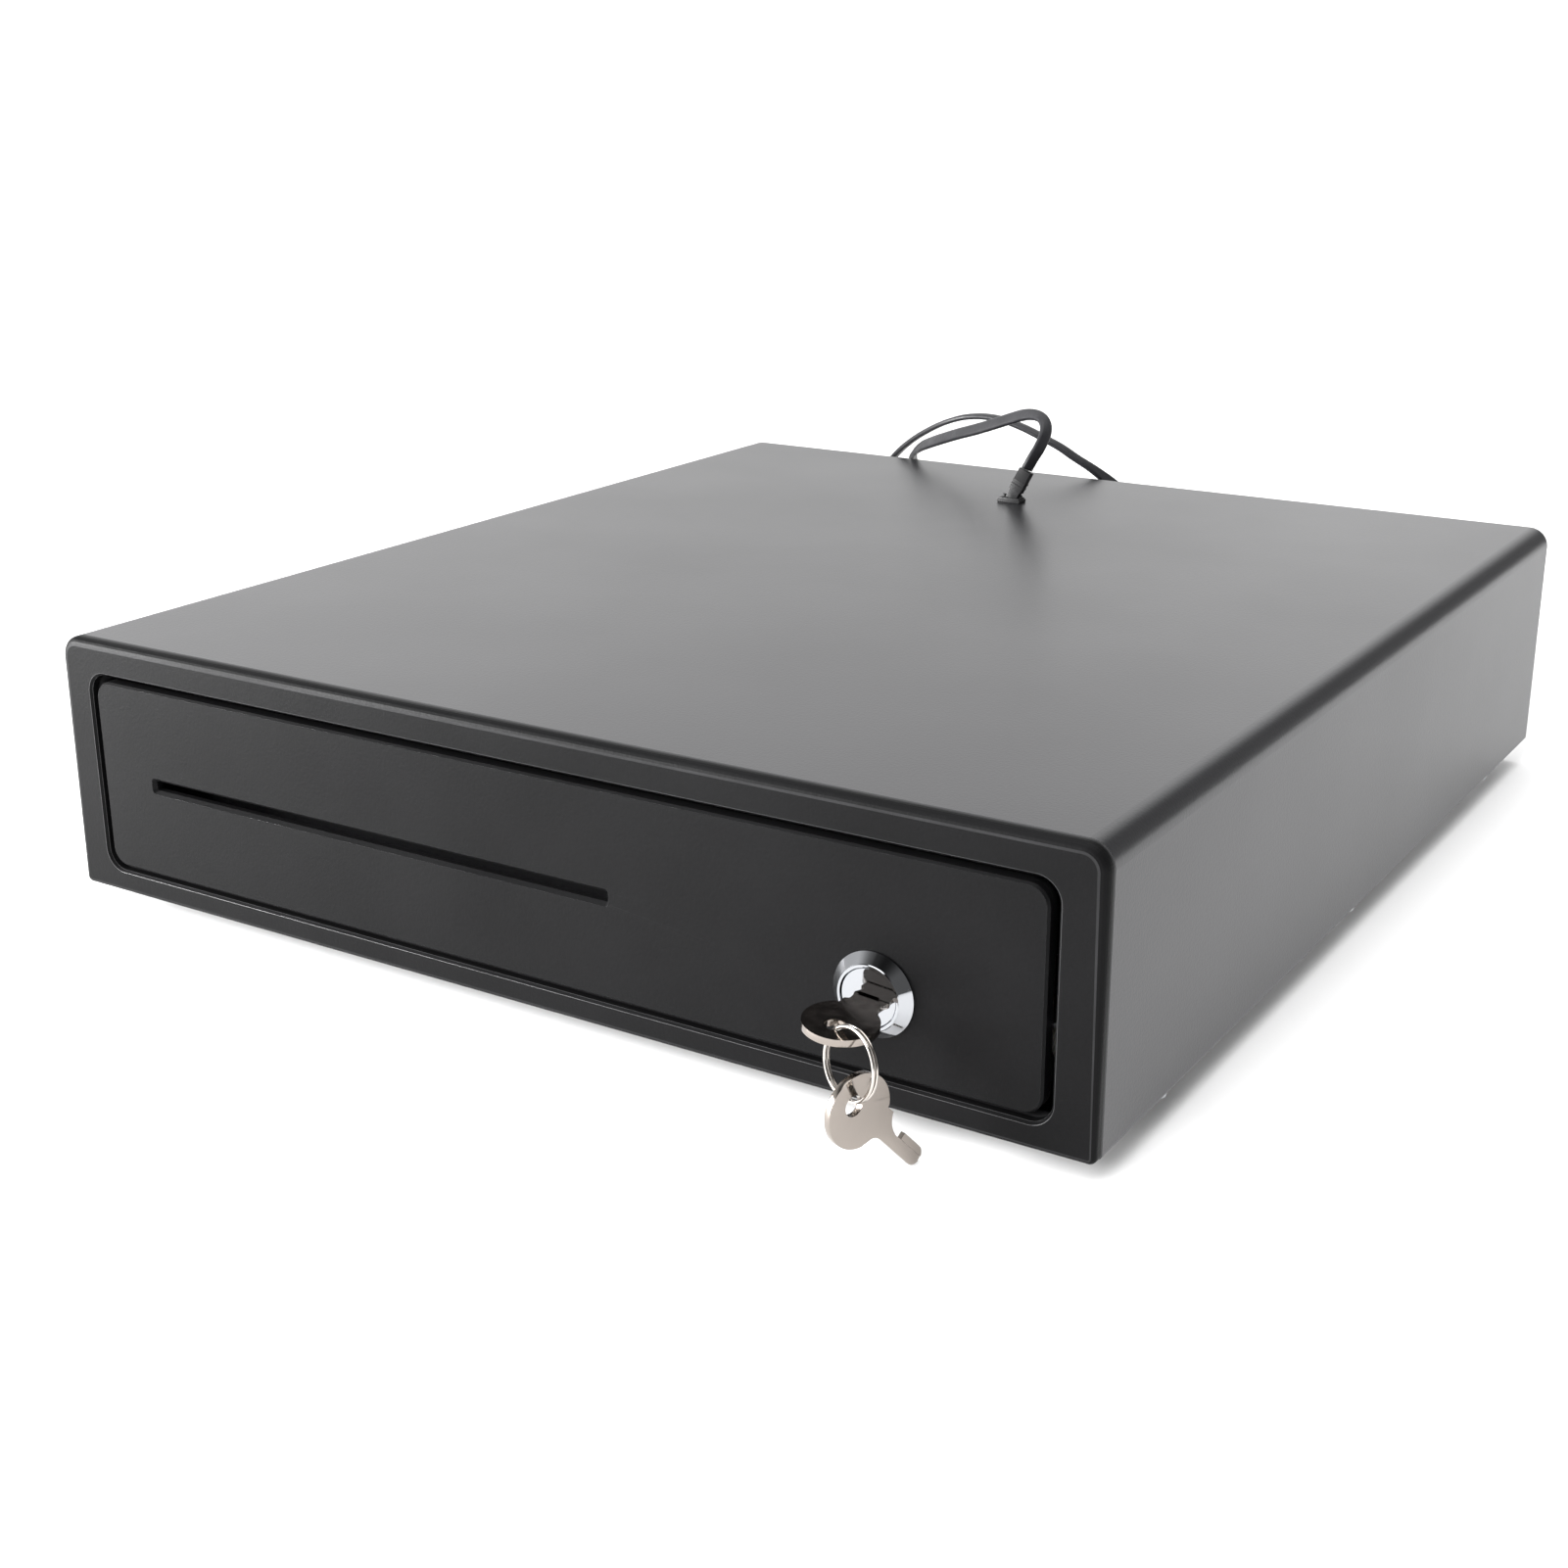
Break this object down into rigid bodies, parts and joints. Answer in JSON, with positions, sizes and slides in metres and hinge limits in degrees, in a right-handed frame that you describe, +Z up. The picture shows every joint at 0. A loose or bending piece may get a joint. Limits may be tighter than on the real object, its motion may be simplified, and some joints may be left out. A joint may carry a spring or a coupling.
{
  "type": "cash drawer",
  "caption": "Compact cash drawer: steel case, roller drawer with a till, cam lock with keys on a ring, solenoid latch and a flat signal lead.",
  "frame": {"origin": "middle of the footprint of the four feet, on the surface that the drawer stands on", "axes": "+X to the right seen from the front, +Y from the front to the back, +Z up"},
  "size_m": [0.335, 0.4797, 0.1179],
  "materials": {
    "case_paint": "powder coat with a fine orange-peel grain, satin",
    "frame_plastic": "smooth satin",
    "front_plastic": "smooth satin",
    "inner_steel": "satin black paint",
    "zinc": "bright zinc plate",
    "roller_nylon": "natural nylon",
    "till_plastic": "fine texture",
    "lock_chrome": "polished",
    "key_nickel": "worn nickel plate",
    "foot_rubber": "matt",
    "lead_black": "smooth flexible sleeve",
    "copper": "enamelled wire",
    "part_plastic": "moulded"
  },
  "bodies": {
    "case": {"case_shell": "case_paint", "base_plate": "inner_steel", "rear_panel": "case_paint", "front_frame": "frame_plastic", "feet": "foot_rubber", "case_screws": "zinc", "lock_keeper": "zinc", "rail_left": "zinc", "rail_right": "zinc", "case_axles": "zinc", "latch_bracket": "zinc", "latch_pin": "zinc", "latch_spring": "zinc", "solenoid_frame": "zinc", "solenoid_coil": "copper", "ejector_housing": "part_plastic", "switch_bracket": "zinc", "switch_body": "part_plastic", "strain_relief": "lead_black", "inner_lead": "lead_black", "lead_first_run": "lead_black", "lead_second_run": "lead_black", "lead_coil": "lead_black", "coil_tie": "part_plastic", "lead_plug": "part_plastic"},
    "drawer": {"drawer_runners": "zinc", "drawer_axles": "zinc", "drawer_front": "front_plastic", "drawer_box": "inner_steel", "front_screws": "zinc", "note_chute": "part_plastic", "note_tray": "till_plastic", "tray_strips": "till_plastic", "coin_tray": "till_plastic", "clip_axle": "zinc", "clip_springs": "zinc", "lock_housing": "lock_chrome", "lock_nut": "zinc", "striker": "zinc"},
    "case_roller_left": {"case_roller_left": "roller_nylon"},
    "case_roller_right": {"case_roller_right": "roller_nylon"},
    "drawer_roller_left": {"drawer_roller_left": "roller_nylon"},
    "drawer_roller_right": {"drawer_roller_right": "roller_nylon"},
    "note_clip_1": {"note_clip_1": "till_plastic"},
    "note_clip_2": {"note_clip_2": "till_plastic"},
    "note_clip_3": {"note_clip_3": "till_plastic"},
    "note_clip_4": {"note_clip_4": "till_plastic"},
    "lock_core": {"lock_plug": "lock_chrome", "lock_cam": "zinc", "cam_screw": "zinc"},
    "key": {"key": "key_nickel"},
    "ring_set": {"key_ring": "key_nickel", "spare_key": "key_nickel"},
    "latch_lever": {"latch_lever": "zinc"},
    "plunger": {"solenoid_plunger": "zinc"},
    "ejector": {"ejector_plunger": "roller_nylon"},
    "switch_arm": {"switch_lever": "zinc"}
  },
  "joints": [
    {"name": "drawer_slide", "type": "slide", "parent": "case", "child": "drawer", "axis": [0, -1, 0], "range_m": [0, 0.26]},
    {"name": "case_roller_left_turn", "type": "hinge", "parent": "case", "child": "case_roller_left", "pos_m": [-0.1517, -0.165, 0.03], "axis": [1, 0, 0], "range_deg": [0, 2130]},
    {"name": "drawer_roller_left_turn", "type": "hinge", "parent": "drawer", "child": "drawer_roller_left", "pos_m": [-0.1517, 0.14, 0.03], "axis": [1, 0, 0], "range_deg": [0, 2130]},
    {"name": "case_roller_right_turn", "type": "hinge", "parent": "case", "child": "case_roller_right", "pos_m": [0.1517, -0.165, 0.03], "axis": [1, 0, 0], "range_deg": [0, 2130]},
    {"name": "drawer_roller_right_turn", "type": "hinge", "parent": "drawer", "child": "drawer_roller_right", "pos_m": [0.1517, 0.14, 0.03], "axis": [1, 0, 0], "range_deg": [0, 2130]},
    {"name": "note_clip_1_lift", "type": "hinge", "parent": "drawer", "child": "note_clip_1", "pos_m": [-0.10823, 0.13, 0.062], "axis": [-1, 0, 0], "range_deg": [0, 36], "stiffness_Nm_per_rad": 0.03, "springref_deg": -22.92},
    {"name": "note_clip_2_lift", "type": "hinge", "parent": "drawer", "child": "note_clip_2", "pos_m": [-0.03608, 0.13, 0.062], "axis": [-1, 0, 0], "range_deg": [0, 36], "stiffness_Nm_per_rad": 0.03, "springref_deg": -22.92},
    {"name": "note_clip_3_lift", "type": "hinge", "parent": "drawer", "child": "note_clip_3", "pos_m": [0.03608, 0.13, 0.062], "axis": [-1, 0, 0], "range_deg": [0, 36], "stiffness_Nm_per_rad": 0.03, "springref_deg": -22.92},
    {"name": "note_clip_4_lift", "type": "hinge", "parent": "drawer", "child": "note_clip_4", "pos_m": [0.10823, 0.13, 0.062], "axis": [-1, 0, 0], "range_deg": [0, 36], "stiffness_Nm_per_rad": 0.03, "springref_deg": -22.92},
    {"name": "lock_turn", "type": "hinge", "parent": "drawer", "child": "lock_core", "pos_m": [0.1093, -0.185, 0.0376], "axis": [0, 1, 0], "range_deg": [0, 90]},
    {"name": "key_pull", "type": "slide", "parent": "lock_core", "child": "key", "axis": [0, -1, 0], "range_m": [0, 0.024]},
    {"name": "ring_turn", "type": "hinge", "parent": "key", "child": "ring_set", "pos_m": [0.11655, -0.208, 0.03086], "axis": [0.3434, 0.9334, -0.1045], "range_deg": [-8, 8]},
    {"name": "latch_swing", "type": "hinge", "parent": "case", "child": "latch_lever", "pos_m": [0.088, 0.176, 0.0255], "axis": [0, 0, 1], "range_deg": [0, 16]},
    {"name": "plunger_slide", "type": "slide", "parent": "case", "child": "plunger", "axis": [1, 0, 0], "range_m": [0, 0.00385]},
    {"name": "ejector_slide", "type": "slide", "parent": "case", "child": "ejector", "axis": [0, -1, 0], "range_m": [0, 0.0201]},
    {"name": "switch_arm_turn", "type": "hinge", "parent": "case", "child": "switch_arm", "pos_m": [-0.027, 0.16, 0.0255], "axis": [0, 0, -1], "range_deg": [0, 15]}
  ],
  "couplings": [
    {"joint": "case_roller_left_turn", "follows": "drawer_slide", "rad_per_m": 142.86},
    {"joint": "drawer_roller_left_turn", "follows": "drawer_slide", "rad_per_m": 142.86},
    {"joint": "case_roller_right_turn", "follows": "drawer_slide", "rad_per_m": 142.86},
    {"joint": "drawer_roller_right_turn", "follows": "drawer_slide", "rad_per_m": 142.86},
    {"joint": "ejector_slide", "follows": "drawer_slide", "ratio": 0.076923},
    {"joint": "switch_arm_turn", "follows": "drawer_slide", "rad_per_m": 1},
    {"joint": "latch_swing", "follows": "plunger_slide", "rad_per_m": 72.36}
  ]
}
